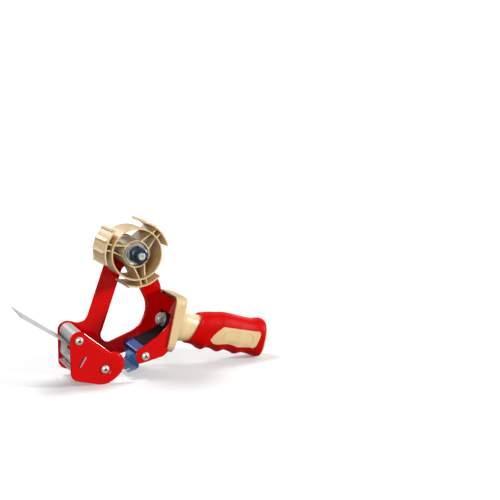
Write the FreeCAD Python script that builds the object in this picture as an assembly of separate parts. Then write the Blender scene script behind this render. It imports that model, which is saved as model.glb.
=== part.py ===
"""Hand-held packing-tape dispenser: pressed steel frame, tape hub with a drag brake, front roller,
serrated cutting blade with a sprung guard, film flap, spring-steel wiper and a pistol grip.

Millimetres.  X runs from the cutting blade (-X) to the end of the grip (+X), Y from the open side of
the tape hub (-Y) to the big side plate (+Y), and Z up from the table that the dispenser lies on.
The origin is on the table, below the middle of the overall box.
"""

import math
import os

import FreeCAD, Part

os.makedirs("parts", exist_ok=True)

# ---------------------------------------------------------------- driving dimensions
MIDDLE = FreeCAD.Vector(27.5, -2.25, 0.0)   # middle of the overall box, taken off every part at the end

SHEET = 1.5              # steel sheet of the frame
HALF_GAP = 27.0          # half the gap between the side plates: room for 50 mm tape
OUTER = HALF_GAP + SHEET
FIT = 0.06               # radial clearance of a running fit
LOOSE = 0.1              # clearance of a screw in its hole

HUB = (8.8, 144.0)       # tape hub axis, as (x, z)
ROLLER = (-62.3, 53.4)   # front roller axis
LOWER_BAR = (-33.7, 17.4)
REAR_BAR = (14.1, 26.5)

BAR_R = 4.0              # roller axle and tie bars
SCREW_R = 2.5            # M5 screws into the ends of the bars
SCREW_DEPTH = 10.0
SCREW_HEAD_R = 4.7
SCREW_HEAD_H = 2.8

ROLLER_R = 9.0
ROLLER_HALF = 24.6
ROLLER_WALL = 1.6
ROLLER_PLUG = 6.0        # thickness of the plastic plug in each end of the roller

SLOT_CENTRE = (-58.9, 29.2)
SLOT_ANGLE = 57.8        # slope of the blade bracket and of its slots
SLOT_LENGTH = 13.6
SLOT_WIDTH = 1.7
BRACKET_T = 1.2
BRACKET_HALF = 25.0      # between the guard's ears; only its tabs go on to the plates
TAB_LENGTH = 12.8
TAB_END = 30.2

BLADE_T = 0.6
BLADE_HALF = 24.0
TOOTH_PITCH = 2.0
TOOTH_DEPTH = 1.7

GUARD_T = 0.9
GUARD_EAR = 25.2         # inner face of the guard's ears

FILM_T = 0.5
FILM_HALF = 24.0
FILM_TOUCH = (-67.5, 45.7)    # where the film passes closest to the roller
FILM_SLOPE = 34.2
FILM_REACH = 69.8             # from that point to the free edge
FILM_ROOT = 17.5              # from that point back to the clamped edge
RIVET_R = 1.5

ARM_T = 0.8
ARM_HALF_TOP = 15.0
ARM_HALF = 21.0
WIPER_T = 0.5
WIPER_HALF = 24.5

GRIP_ORIGIN = (49.3, 59.5)    # where the grip's axis leaves the frame's rear web
GRIP_TILT = 13.0              # the grip slopes down by this much
WEB_LOW = -24.0
WEB_HIGH = 27.7
FERRULE_LOW = -34.0
FERRULE_HIGH = 31.2
FERRULE_HALF = 31.0
FERRULE_CORNER_TOP = 15.0
FERRULE_CORNER_LOW = 12.0
FERRULE_LIP = 2.6
SLEEVE_T = 2.6
SLEEVE_TOP = 43.6        # the sleeve's front edge slants from here at its top
SLEEVE_LOW = 27.0        # to here at its underside

STUD_R = 4.0             # M8 stud that holds the grip and the wiper arm
STUD_FRONT = -11.5
STUD_BACK = 46.0

BARREL_R = 30.0          # middle ring of the tape hub
BARREL_WALL = 1.6
TUBE_R = 15.7            # inner tube of the tape hub
TUBE_WALL = 1.3
LEAF_R = 38.0            # outside of the hub's leaves: fits a 76 mm tape core
LEAF_WALL = 1.6
LEAF_SPAN = 64.0
LEAF_CENTRES = (43.0, 163.0, 283.0)
SPOKE_T = 1.5
RIDGE_H = 1.9
RIDGE_ANGLES = (-29.5, -10.0, 9.5, 29.0)
BOSS_R = 7.5
BOLT_R = 4.0             # M8 hub bolt
BOLT_END = -39.0

# ---------------------------------------------------------------- helpers


def v(x, y, z):
    return FreeCAD.Vector(x, y, z)


def outline(start, steps, y):
    """A closed wire in the plane Y = y.  A step is (x, z) for a line, or ((x, z), (x, z)) for an arc."""
    edges = []
    here = v(start[0], y, start[1])
    for step in steps:
        if isinstance(step[0], tuple):
            through = v(step[0][0], y, step[0][1])
            there = v(step[1][0], y, step[1][1])
            edges.append(Part.Arc(here, through, there).toShape())
        else:
            there = v(step[0], y, step[1])
            edges.append(Part.makeLine(here, there))
        here = there
    first = v(start[0], y, start[1])
    if here.distanceToPoint(first) > 1e-6:
        edges.append(Part.makeLine(here, first))
    return Part.Wire(edges)


def slab(start, steps, y0, y1):
    """An outline given thickness along Y."""
    return Part.Face(outline(start, steps, y0)).extrude(v(0, y1 - y0, 0))


def rod(centre, radius, y0, y1):
    """A cylinder along Y about the axis (x, z)."""
    return Part.makeCylinder(radius, y1 - y0, v(centre[0], y0, centre[1]), v(0, 1, 0))


def ring(centre, outer, inner, y0, y1):
    return rod(centre, outer, y0, y1).cut(rod(centre, inner, y0 - 1, y1 + 1))


def box(x0, x1, y0, y1, z0, z1):
    return Part.makeBox(x1 - x0, y1 - y0, z1 - z0, v(x0, y0, z0))


def hexagon(centre, flats, y0, y1):
    """A hexagonal prism along Y, with its corners turned down as on a real nut."""
    corner = flats / 2 / math.cos(math.radians(30))
    turns = [math.radians(60 * i + 30) for i in range(7)]
    points = [v(centre[0] + corner * math.cos(t), y0, centre[1] + corner * math.sin(t)) for t in turns]
    prism = Part.Face(Part.makePolygon(points)).extrude(v(0, y1 - y0, 0))
    chamfer = 0.09 * flats
    turned = rod(centre, corner, y0 + chamfer, y1 - chamfer)
    ends = ((y0 + chamfer, -chamfer), (y1 - chamfer, chamfer))
    for y, step in ends:
        at = v(centre[0], y, centre[1])
        way = v(0, math.copysign(1, step), 0)
        turned = turned.fuse(Part.makeCone(corner, corner - 1.6 * chamfer, chamfer, at, way))
    return prism.common(turned)


def bend(points, radii, thickness, y0, y1):
    """A bent strip of sheet: its middle line in XZ, a bend radius at each inner point, and its width."""
    edges = []
    here = points[0]
    for i in range(1, len(points) - 1):
        corner = points[i]
        radius = radii[i - 1]
        to_back = unit(corner, points[i - 1])
        to_next = unit(corner, points[i + 1])
        half = math.acos(to_back[0] * to_next[0] + to_back[1] * to_next[1]) / 2
        run = radius / math.tan(half)
        middle = (to_back[0] + to_next[0], to_back[1] + to_next[1])
        scale = (radius / math.sin(half) - radius) / math.hypot(*middle)
        start = (corner[0] + to_back[0] * run, corner[1] + to_back[1] * run)
        end = (corner[0] + to_next[0] * run, corner[1] + to_next[1] * run)
        top = (corner[0] + middle[0] * scale, corner[1] + middle[1] * scale)
        edges.append(Part.makeLine(v(here[0], y0, here[1]), v(start[0], y0, start[1])))
        arc = Part.Arc(v(start[0], y0, start[1]), v(top[0], y0, top[1]), v(end[0], y0, end[1]))
        edges.append(arc.toShape())
        here = end
    edges.append(Part.makeLine(v(here[0], y0, here[1]), v(points[-1][0], y0, points[-1][1])))
    line = Part.Wire(edges)
    near = line.makeOffset2D(thickness / 2, 0, False, True)
    far = line.makeOffset2D(-thickness / 2, 0, False, True)
    ends = join_ends(near, far)
    face = Part.Face(Part.Wire(Part.__sortEdges__(near.Edges + far.Edges + ends)))
    return face.extrude(v(0, y1 - y0, 0))


def unit(a, b):
    length = math.hypot(b[0] - a[0], b[1] - a[1])
    return ((b[0] - a[0]) / length, (b[1] - a[1]) / length)


def join_ends(near, far):
    """The two short lines that close the ends of a pair of parallel open wires."""
    near_ends = loose_ends(near)
    far_ends = loose_ends(far)
    lines = []
    for point in near_ends:
        other = min(far_ends, key=point.distanceToPoint)
        lines.append(Part.makeLine(point, other))
    return lines


def loose_ends(wire):
    points = [vertex.Point for edge in wire.Edges for vertex in (edge.Vertexes[0], edge.Vertexes[-1])]
    return [p for p in points if sum(p.distanceToPoint(q) < 1e-5 for q in points) == 1]


def along(start, slope, distance, lift=0.0):
    """The point at a distance up a slope (degrees) from start, and a lift at right angles to it."""
    a = math.radians(slope)
    x = start[0] + distance * math.cos(a) - lift * math.sin(a)
    z = start[1] + distance * math.sin(a) + lift * math.cos(a)
    return (x, z)


def grip_point(a, u):
    """XZ of a point given along the grip's axis (a) and across it upwards (u)."""
    return along(GRIP_ORIGIN, -GRIP_TILT, a, u)


def coil(centre, radius, wire, y0, y1, turns, square=False):
    """A helical spring about an axis along Y, between y0 and y1, of round or square wire of half width wire."""
    height = y1 - y0 - 2 * wire
    helix = Part.makeHelix(height / turns, height, radius)
    if square:
        sides = ((-1, -1), (1, -1), (1, 1), (-1, 1), (-1, -1))
        profile = Part.makePolygon([v(radius + i * wire, 0, j * wire) for i, j in sides])
    else:
        profile = Part.Wire(Part.Circle(v(radius, 0, 0), v(0, 1, 0), wire).toShape())
    spring = Part.Wire(helix).makePipeShell([profile], True, True)
    spring.rotate(v(0, 0, 0), v(1, 0, 0), -90)
    spring.translate(v(centre[0], y0 + wire, centre[1]))
    return spring


# ---------------------------------------------------------------- frame

FRONT_FOOT = [
    (-31.5, 0.37),
    ((-36.2, 0.0), (-41.0, 0.386)),
    (-65.5, 7.3),
    ((-70.9, 11.0), (-73.0, 17.5)),
    (-72.7, ROLLER[1]),
]


def plate_holes(y0, y1):
    """The holes both side plates have at the front: roller axle, lower tie bar and blade bracket."""
    holes = rod(ROLLER, SCREW_R + LOOSE, y0 - 1, y1 + 1)
    holes = holes.fuse(rod(LOWER_BAR, SCREW_R + LOOSE, y0 - 1, y1 + 1))
    corners = [
        along(SLOT_CENTRE, SLOT_ANGLE, run * SLOT_LENGTH / 2, side * SLOT_WIDTH / 2)
        for run, side in ((-1, -1), (1, -1), (1, 1), (-1, 1))
    ]
    return holes.fuse(slab(corners[0], corners[1:], y0 - 1, y1 + 1))


def side_frame():
    """Far side plate with its arm and loop, rear web, and the near flange: one folded pressing."""
    top = grip_point(0, WEB_HIGH)
    low = grip_point(0, WEB_LOW)
    steps = [
        ((-69.65, 60.75), (-59.1, 63.3)),
        (-54.0, 61.7),
        ((-44.1, 61.1), (-36.9, 68.0)),
        (-7.1, 149.8),
        ((8.8, 161.0), (23.7, 152.2)),
        (51.5, 101.4),
        ((54.8, 94.5), top),
        low,
        ((40.8, 27.6), (33.5, 23.6)),
        (8.2, 18.6),
        (-10.8, 14.6),
        ((-19.5, 6.3), FRONT_FOOT[0]),
    ] + FRONT_FOOT[1:]
    far = slab((-72.7, ROLLER[1]), steps, HALF_GAP, OUTER)
    window = [
        (5.8, 118.6),
        ((10.5, 121.8), (15.1, 118.8)),
        (30.9, 85.5),
        ((33.9, 73.0), (30.0, 58.4)),
        ((24.6, 49.4), (16.6, 43.6)),
        (-12.5, 33.2),
        ((-19.6, 36.4), (-20.3, 47.2)),
    ]
    far = far.cut(slab((-20.3, 47.2), window, HALF_GAP - 1, OUTER + 1))
    far = far.cut(plate_holes(HALF_GAP, OUTER))
    far = far.cut(rod(REAR_BAR, SCREW_R + LOOSE, HALF_GAP - 1, OUTER + 1))
    far = far.cut(rod(HUB, BOLT_R + LOOSE, HALF_GAP - 1, OUTER + 1))
    web_steps = [grip_point(0, WEB_HIGH), grip_point(0, WEB_LOW), grip_point(-SHEET, WEB_LOW)]
    web = slab(grip_point(-SHEET, WEB_HIGH), web_steps, -OUTER, OUTER)
    flange_steps = [
        ((5.4, 35.0), (9.6, 36.3)),
        (28.8, 47.8),
        ((43.2, 60.4), grip_point(-SHEET, 14.5)),
        grip_point(0, 14.5),
        low,
        ((40.8, 27.6), (33.5, 23.6)),
        (8.4, 18.9),
        ((4.9, 20.4), (3.5, 24.5)),
    ]
    flange = slab((3.8, 31.0), [*flange_steps], -OUTER, -HALF_GAP)
    flange = flange.cut(rod(REAR_BAR, SCREW_R + LOOSE, -OUTER - 1, 0))
    frame = far.fuse(web).fuse(flange)
    cross = grip_hole(STUD_R + LOOSE, -3, 3)
    return frame.cut(cross).removeSplitter()


def grip_hole(radius, a0, a1):
    """A cylinder along the grip's axis."""
    x0, z0 = grip_point(a0, 0)
    x1, z1 = grip_point(a1, 0)
    return Part.makeCylinder(radius, a1 - a0, v(x0, 0, z0), v(x1 - x0, 0, z1 - z0))


def near_plate():
    """The small near side plate that carries the roller and the blade."""
    steps = [
        ((-69.65, 60.75), (-55.5, 61.3)),
        (-26.3, 36.0),
        (-21.8, 36.0),
        ((-14.2, 31.6), (-10.6, 22.5)),
        (-10.8, 16.8),
        ((-19.7, 6.9), FRONT_FOOT[0]),
    ] + FRONT_FOOT[1:]
    plate = slab((-72.7, ROLLER[1]), steps, -OUTER, -HALF_GAP)
    return plate.cut(plate_holes(-OUTER, -HALF_GAP))


def bar(centre):
    """A tie bar between the plates, drilled at both ends for a screw."""
    body = rod(centre, BAR_R, -HALF_GAP, HALF_GAP)
    for side in (-1, 1):
        inner = side * (HALF_GAP - SCREW_DEPTH)
        outer = side * (HALF_GAP + 1)
        body = body.cut(rod(centre, SCREW_R + FIT, min(inner, outer), max(inner, outer)))
    return body


def screws(side):
    """Three domed cross-head screws on one side, one into each bar."""
    solids = []
    for centre in (ROLLER, LOWER_BAR, REAR_BAR):
        shank = rod(centre, SCREW_R, HALF_GAP - SCREW_DEPTH + 1, OUTER)
        head = rod(centre, SCREW_HEAD_R, OUTER, OUTER + SCREW_HEAD_H)
        dome = Part.makeSphere(6.3, v(centre[0], OUTER + SCREW_HEAD_H - 6.3, centre[1]))
        head = head.common(dome)
        for turn in (45, 135):
            arm = box(-2.2, 2.2, OUTER + 1.4, OUTER + 4, -0.45, 0.45)
            arm.rotate(v(0, 0, 0), v(0, 1, 0), turn)
            arm.translate(v(centre[0], 0, centre[1]))
            head = head.cut(arm)
        screw = shank.fuse(head)
        if side < 0:
            screw = screw.mirror(v(0, 0, 0), v(0, 1, 0))
        solids.append(screw)
    return Part.makeCompound(solids)


# ---------------------------------------------------------------- roller, blade and guard


def front_roller():
    """A steel tube on two plastic end plugs; the far plug is hollowed for the guard's spring."""
    roller = ring(ROLLER, ROLLER_R, ROLLER_R - ROLLER_WALL, -ROLLER_HALF, ROLLER_HALF)
    for y0 in (-ROLLER_HALF, ROLLER_HALF - ROLLER_PLUG):
        roller = roller.fuse(ring(ROLLER, ROLLER_R - ROLLER_WALL, BAR_R + FIT, y0, y0 + ROLLER_PLUG))
    return roller.cut(rod(ROLLER, 6.3, ROLLER_HALF - 4.2, ROLLER_HALF + 1)).removeSplitter()


def guard_spring():
    """The torsion spring that swings the guard back over the teeth."""
    return coil(ROLLER, 5.2, 0.45, ROLLER_HALF - 4.0, ROLLER_HALF + 0.2, 3, True)


BRACKET_TOP = 8.0       # from the film's closest point back to the bracket's upper edge
LIP_POINTS = ((-62.6, 23.3), (-69.4, 21.9))


def film_line(distance, lift=0.0):
    """A point on the film's middle plane, measured towards its free edge."""
    return along(FILM_TOUCH, 180 - FILM_SLOPE, distance, lift)


def bracket_corner():
    """Where the clamping lip's middle line crosses the bracket's own."""
    a = math.radians(180 - FILM_SLOPE)
    b = math.radians(SLOT_ANGLE)
    start = film_line(0, (FILM_T + BRACKET_T) / 2)
    dx = SLOT_CENTRE[0] - start[0]
    dz = SLOT_CENTRE[1] - start[1]
    cross = math.cos(a) * math.sin(b) - math.sin(a) * math.cos(b)
    run = (dx * math.sin(b) - dz * math.cos(b)) / cross
    return along(start, 180 - FILM_SLOPE, run)


def blade_bracket():
    """The cross plate behind the guard: its tabs sit in the slots of both side plates."""
    top = film_line(-BRACKET_TOP, (FILM_T + BRACKET_T) / 2)
    points = [top, bracket_corner(), LIP_POINTS[0], LIP_POINTS[1]]
    plate = bend(points, (1.6, 1.8), BRACKET_T, -BRACKET_HALF, BRACKET_HALF)
    corners = [
        along(SLOT_CENTRE, SLOT_ANGLE, run * TAB_LENGTH / 2, side * BRACKET_T / 2)
        for run, side in ((-1, -1), (1, -1), (1, 1), (-1, 1))
    ]
    plate = plate.fuse(slab(corners[0], corners[1:], -TAB_END, TAB_END)).removeSplitter()
    for hole in film_rivet_holes() + blade_rivet_holes():
        plate = plate.cut(hole)
    return plate


def pin_through(point, slope, length, radius, y, head=0.0, head_r=0.0):
    """A pin at right angles to a sloping sheet, centred on it, with optional round heads."""
    a = math.radians(slope)
    normal = v(-math.sin(a), 0, math.cos(a))
    middle = v(point[0], y, point[1])
    pin = Part.makeCylinder(radius, length, middle - normal * (length / 2), normal)
    if head:
        for way in (-1, 1):
            foot = middle + normal * (way * length / 2)
            pin = pin.fuse(Part.makeCone(head_r, head_r * 0.6, head, foot, normal * way))
    return pin


def film_stack():
    """Middle of the clamp, film and lip stack, and its thickness."""
    return film_line(-FILM_ROOT + 5.4), FILM_T + 2 * BRACKET_T


def film_rivet_holes():
    point, stack = film_stack()
    return [pin_through(point, 180 - FILM_SLOPE, stack + 4, RIVET_R + FIT, y) for y in (-16, 16)]


def flap_rivets():
    point, stack = film_stack()
    pins = [pin_through(point, 180 - FILM_SLOPE, stack + 0.04, RIVET_R, y, 0.8, 2.8) for y in (-16, 16)]
    return Part.makeCompound(pins)


def lip_slope():
    (x0, z0), (x1, z1) = LIP_POINTS
    return math.degrees(math.atan2(z1 - z0, x1 - x0))


def blade_stack():
    """Middle of the lip and blade stack, and its thickness."""
    return along(LIP_POINTS[0], lip_slope(), 3.9, BLADE_T / 2), BRACKET_T + BLADE_T


def blade_rivet_holes():
    point, stack = blade_stack()
    return [pin_through(point, lip_slope(), stack + 4, RIVET_R + FIT, y) for y in (-16, 16)]


def blade_rivets():
    point, stack = blade_stack()
    pins = [pin_through(point, lip_slope(), stack + 0.04, RIVET_R, y, 0.6, 2.4) for y in (-16, 16)]
    return Part.makeCompound(pins)


def cutting_blade():
    """A hardened strip with saw teeth along its front edge, riveted under the bracket's lip."""
    back = along(LIP_POINTS[0], lip_slope(), 1.6, BRACKET_T / 2 + BLADE_T / 2)
    root = 8.0
    count = int(2 * BLADE_HALF / TOOTH_PITCH)
    points = [(0, -BLADE_HALF), (root, -BLADE_HALF)]
    for i in range(count):
        y = -BLADE_HALF + i * TOOTH_PITCH
        points += [(root + TOOTH_DEPTH, y + TOOTH_PITCH / 2), (root, y + TOOTH_PITCH)]
    points.append((0, BLADE_HALF))
    a = math.radians(lip_slope())
    ahead = v(math.cos(a), 0, math.sin(a))
    normal = v(-math.sin(a), 0, math.cos(a))
    base = v(back[0], 0, back[1]) - normal * (BLADE_T / 2)
    corners = [base + ahead * p + v(0, q, 0) for p, q in points]
    blade = Part.Face(Part.makePolygon(corners + corners[:1])).extrude(normal * BLADE_T)
    for hole in blade_rivet_holes():
        blade = blade.cut(hole)
    return blade


def blade_guard():
    """The sprung guard: a bent plate over the teeth, hung from the roller axle by two ears."""
    plate = bend([(-63.4, 33.1), (-70.4, 27.9), (-68.9, 25.6)], (1.2,), GUARD_T, -GUARD_EAR - GUARD_T,
                 GUARD_EAR + GUARD_T)
    ear_steps = [(-70.9, 27.9), (-62.9, 33.6), (-58.0, 47.5)]
    for y0 in (-GUARD_EAR - GUARD_T, GUARD_EAR):
        ear = slab((-68.4, 50.5), ear_steps, y0, y0 + GUARD_T)
        ear = ear.fuse(rod(ROLLER, 6.6, y0, y0 + GUARD_T))
        plate = plate.fuse(ear)
    return plate.cut(rod(ROLLER, BAR_R + FIT, -HALF_GAP, HALF_GAP)).removeSplitter()


# ---------------------------------------------------------------- film flap


def tape_flap():
    """Clear film that keeps the tape's end from falling back on to the roller."""
    middle = film_line(0)
    corners = [
        along(middle, 180 - FILM_SLOPE, run, lift)
        for run, lift in (
            (-FILM_ROOT, -FILM_T / 2), (FILM_REACH, -FILM_T / 2),
            (FILM_REACH, FILM_T / 2), (-FILM_ROOT, FILM_T / 2),
        )
    ]
    film = slab(corners[0], corners[1:], -FILM_HALF, FILM_HALF)
    for hole in film_rivet_holes():
        film = film.cut(hole)
    return film


def flap_clamp():
    """The steel strip that clamps the film's root down on the bracket's upper lip."""
    corners = [
        film_line(run, lift)
        for run, lift in (
            (-FILM_ROOT, -FILM_T / 2), (-FILM_ROOT + 8.5, -FILM_T / 2),
            (-FILM_ROOT + 8.5, -FILM_T / 2 - BRACKET_T), (-FILM_ROOT, -FILM_T / 2 - BRACKET_T),
        )
    ]
    strip = slab(corners[0], corners[1:], -FILM_HALF, FILM_HALF)
    for hole in film_rivet_holes():
        strip = strip.cut(hole)
    return strip


# ---------------------------------------------------------------- wiper


ARM_TAB = (9.5, -9.5)          # the clamped tab of the arm, up and down the web
ARM_NOSE = (10.5, 34.2)        # front end of the arm
ARM_KNEE = (41.5, 48.0)


def arm_slope():
    return math.degrees(math.atan2(ARM_KNEE[1] - ARM_NOSE[1], ARM_KNEE[0] - ARM_NOSE[0]))


def wiper_arm():
    """A leaf of spring steel clamped against the web, widening towards the wiper it carries."""
    lift = -SHEET - ARM_T / 2
    points = [grip_point(lift, ARM_TAB[0]), grip_point(lift, ARM_TAB[1]), ARM_KNEE, ARM_NOSE]
    leaf = bend(points, (2.5, 6.0), ARM_T, -ARM_HALF, ARM_HALF)
    for side in (-1, 1):
        corners = [v(30, side * ARM_HALF_TOP, 0), v(60, side * ARM_HALF_TOP, 0)]
        corners += [v(60, side * 40, 0), v(0, side * 40, 0), v(18, side * ARM_HALF, 0)]
        trim = Part.Face(Part.makePolygon(corners + corners[:1])).extrude(v(0, 0, 100))
        leaf = leaf.cut(trim)
    return leaf.cut(grip_hole(STUD_R + LOOSE, -4, 0))


def wiper_blade():
    """Blued spring-steel wiper: spot-welded over the arm's nose, down, and curled forward into a lip."""
    lift = (ARM_T + WIPER_T) / 2
    points = [
        along(ARM_NOSE, arm_slope(), 6.5, lift),
        (3.6, 32.0),
        (8.4, 12.6),
        (-6.2, 9.4),
    ]
    blade = bend(points, (2.2, 6.5), WIPER_T, -WIPER_HALF, WIPER_HALF)
    notch = slab((-9, 15), [(-1.0, 15), (-1.0, 4), (-9, 4)], -2.2, 2.2)
    for y in (-15.0, 15.0):
        cut = notch.copy()
        cut.translate(v(0, y, 0))
        blade = blade.cut(cut)
    return blade


# ---------------------------------------------------------------- grip


GRIP_SECTIONS = [
    # along the axis, top, bottom, half width
    (22.0, 17.6, -24.2, 18.2),
    (33.0, 14.4, -24.8, 16.6),
    (41.0, 13.6, -26.8, 16.4),
    (44.5, 13.8, -29.0, 16.5),
    (50.0, 15.0, -30.2, 16.8),
    (56.0, 16.0, -27.4, 16.4),
    (64.0, 16.8, -28.2, 16.4),
    (72.0, 17.8, -30.8, 16.8),
    (80.0, 17.8, -27.6, 16.4),
    (89.0, 17.0, -29.0, 16.4),
    (95.5, 16.3, -31.0, 16.8),
    (104.0, 15.6, -28.4, 16.4),
    (114.0, 15.2, -29.2, 16.6),
    (122.0, 16.8, -31.0, 17.2),
    (127.0, 16.6, -31.2, 17.2),
    (131.6, 9.6, -27.0, 14.0),
    (134.2, 1.0, -19.6, 8.0),
]

NECK_SECTIONS = [
    (5.0, 25.0, -27.0, 24.0),
    (12.0, 20.0, -23.8, 20.0),
    (22.0, 14.6, -22.6, 16.0),
    (33.0, 11.4, -22.8, 14.4),
    (41.0, 10.6, -24.2, 13.8),
]


def section(a, top, bottom, half, shrink=0.0, power=2.6):
    """A rounded closed section across the grip's axis."""
    middle = (top + bottom) / 2
    tall = (top - bottom) / 2 - shrink
    wide = half - shrink
    points = []
    for i in range(16):
        t = 2 * math.pi * i / 16
        c = math.cos(t)
        s = math.sin(t)
        y = wide * math.copysign(abs(c) ** (2 / power), c)
        u = middle + tall * math.copysign(abs(s) ** (2 / power), s)
        x, z = grip_point(a, u)
        points.append(v(x, y, z))
    curve = Part.BSplineCurve()
    curve.interpolate(points, PeriodicFlag=True)
    return Part.Wire(curve.toShape())


def grip_body(shrink):
    wires = [section(*row, shrink=shrink) for row in GRIP_SECTIONS]
    return Part.makeLoft(wires, True, True)


def core_body():
    """Neck and core under the sleeve."""
    last = GRIP_SECTIONS[-1]
    rows = [section(*row) for row in NECK_SECTIONS]
    rows += [section(*row, shrink=SLEEVE_T) for row in GRIP_SECTIONS[3:-1]]
    rows.append(section(last[0] - 1.0, last[1], last[2], last[3], shrink=1.5))
    return Part.makeLoft(rows, True, True)


def panel_window():
    """The outline of the bare panel on each flank of the grip, as a cutter along Y."""
    steps = [
        ((107.5, 39.6), (115.0, 44.2)),
        ((118.6, 46.0), (123.0, 45.2)),
        (162.5, 35.6),
        ((167.4, 33.4), (167.2, 29.0)),
        (162.4, 19.2),
        ((159.2, 15.6), (153.5, 16.2)),
        (135.5, 18.9),
        ((122.4, 24.3), (112.3, 25.0)),
        ((103.8, 27.6), (100.3, 32.6)),
    ]
    return slab((100.3, 32.6), steps, -30, 30)


def ferrule():
    """The collar that seats on the frame's rear web, thinner towards its lower edge."""
    rows = []
    for a, grow in ((-FERRULE_LIP, 0.0), (9.5, -1.0)):
        rows.append(rounded(a, FERRULE_HIGH + grow, FERRULE_LOW - grow, FERRULE_HALF + grow))
    body = Part.makeLoft(rows, True, True)
    low = grip_point(4.5, FERRULE_LOW - 8)
    high = grip_point(11.5, FERRULE_HIGH + 8)
    away = (high[0] + 40, high[1])
    cutter = slab(low, [high, away, (away[0], low[1] - 20), (low[0], low[1] - 20)], -50, 50)
    return body.cut(cutter)


def rounded(a, top, bottom, half):
    """A rectangle with rounded corners across the grip's axis."""
    r = FERRULE_CORNER_TOP
    q = FERRULE_CORNER_LOW
    k = 1 - math.sqrt(0.5)
    corners = [
        ((half - r, top), (half - k * r, top - k * r), (half, top - r)),
        ((half, bottom + q), (half - k * q, bottom + k * q), (half - q, bottom)),
        ((-half + q, bottom), (-half + k * q, bottom + k * q), (-half, bottom + q)),
        ((-half, top - r), (-half + k * r, top - k * r), (-half + r, top)),
    ]
    edges = []
    last = None
    first = None
    for trio in corners:
        world = []
        for y, u in trio:
            x, z = grip_point(a, u)
            world.append(v(x, y, z))
        if last is None:
            first = world[0]
        else:
            edges.append(Part.makeLine(last, world[0]))
        edges.append(Part.Arc(*world).toShape())
        last = world[2]
    edges.append(Part.makeLine(last, first))
    return Part.Wire(edges)


def frame_seat():
    """The room that the frame's web, plate and flange take up inside the ferrule's lip."""
    gap = 0.05
    bulge = 0.5             # the frame's rounded lower corner stands this much behind the web at most
    room = None
    pockets = (
        (WEB_HIGH + gap, 0.0, -OUTER - gap),
        (WEB_HIGH + 60, 0.0, HALF_GAP - gap),
        (WEB_LOW + 0.5, bulge, -OUTER - gap),
    )
    for high, back, y0 in pockets:
        corners = [grip_point(-20, high), grip_point(back, high)]
        corners += [grip_point(back, WEB_LOW - 60), grip_point(-20, WEB_LOW - 60)]
        piece = slab(corners[0], corners[1:], y0, OUTER + gap)
        room = piece if room is None else room.fuse(piece)
    return room


def handle_core():
    """Hard plastic grip: ferrule, neck and the core inside the sleeve, with a bare panel each side."""
    body = ferrule().fuse(core_body())
    panels = grip_body(0.35).common(panel_window())
    body = body.fuse(panels)
    body = body.cut(frame_seat())
    return body.cut(grip_hole(STUD_R + FIT, -5, STUD_BACK)).removeSplitter()


def grip_sleeve(core):
    """Soft red sleeve over the core, slanted at its front and open at both panels."""
    sleeve = grip_body(0.0).cut(core_body()).cut(panel_window())
    front = [
        grip_point(SLEEVE_TOP, 14), grip_point(SLEEVE_LOW, -26),
        grip_point(SLEEVE_LOW - 6.6, -42), grip_point(-10, -42), grip_point(-10, 50), grip_point(58.4, 50),
    ]
    return sleeve.cut(slab(front[0], front[1:], -50, 50)).cut(core)


def handle_stud():
    return grip_hole(STUD_R, STUD_FRONT, STUD_BACK - 1)


def grip_hex(flats, a0, a1, bore):
    """A hexagon or a washer on the grip's axis, built along Y and turned into place."""
    nut = hexagon((0, 0), flats, 0, a1 - a0).cut(rod((0, 0), bore, -1, a1 - a0 + 1))
    return onto_grip(nut, a0)


def onto_grip(shape, a0):
    """Turn a part built along +Y about the origin so that it runs along the grip's axis from a0."""
    shape.rotate(v(0, 0, 0), v(0, 0, 1), -90)
    shape.rotate(v(0, 0, 0), v(0, 1, 0), GRIP_TILT)
    x, z = grip_point(a0, 0)
    shape.translate(v(x, 0, z))
    return shape


STACK = SHEET + ARM_T          # web and arm under the washer


def handle_washer():
    washer = ring((0, 0), 8.4, STUD_R + LOOSE, 0, 1.5)
    return onto_grip(washer, -STACK - 1.55)


def handle_nut():
    return grip_hex(13.0, -STACK - 1.6 - 6.5, -STACK - 1.6, STUD_R + FIT)


# ---------------------------------------------------------------- tape hub


def spoke(a0, r0, a1, r1, y0, y1):
    """A flat web between two points given as angle and radius about the hub's axis."""
    start = along(HUB, a0, r0)
    end = along(HUB, a1, r1)
    slope = math.degrees(math.atan2(end[1] - start[1], end[0] - start[0]))
    length = math.hypot(end[0] - start[0], end[1] - start[1])
    corners = [
        along(start, slope, run, side * SPOKE_T / 2)
        for run, side in ((0, -1), (length, -1), (length, 1), (0, 1))
    ]
    return slab(corners[0], corners[1:], y0, y1)


def leaf(centre):
    """One outer leaf with its saw ridges, which bite the cardboard core."""
    half = LEAF_SPAN / 2
    points = []
    for radius in (LEAF_R, LEAF_R - LEAF_WALL):
        points.append([along(HUB, centre + t, radius) for t in (-half, 0, half)])
    out, back = points
    steps = [(out[1], out[2]), back[2], (back[1], back[0])]
    body = slab(out[0], steps, -23.0, 25.0)
    for t in RIDGE_ANGLES:
        tooth = [
            along(HUB, centre + t - 3.4, LEAF_R - 0.4),
            along(HUB, centre + t + 2.2, LEAF_R + RIDGE_H),
            along(HUB, centre + t + 2.9, LEAF_R - 0.4),
        ]
        body = body.fuse(slab(tooth[0], tooth[1:], -20.0, 25.0))
    return body


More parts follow.
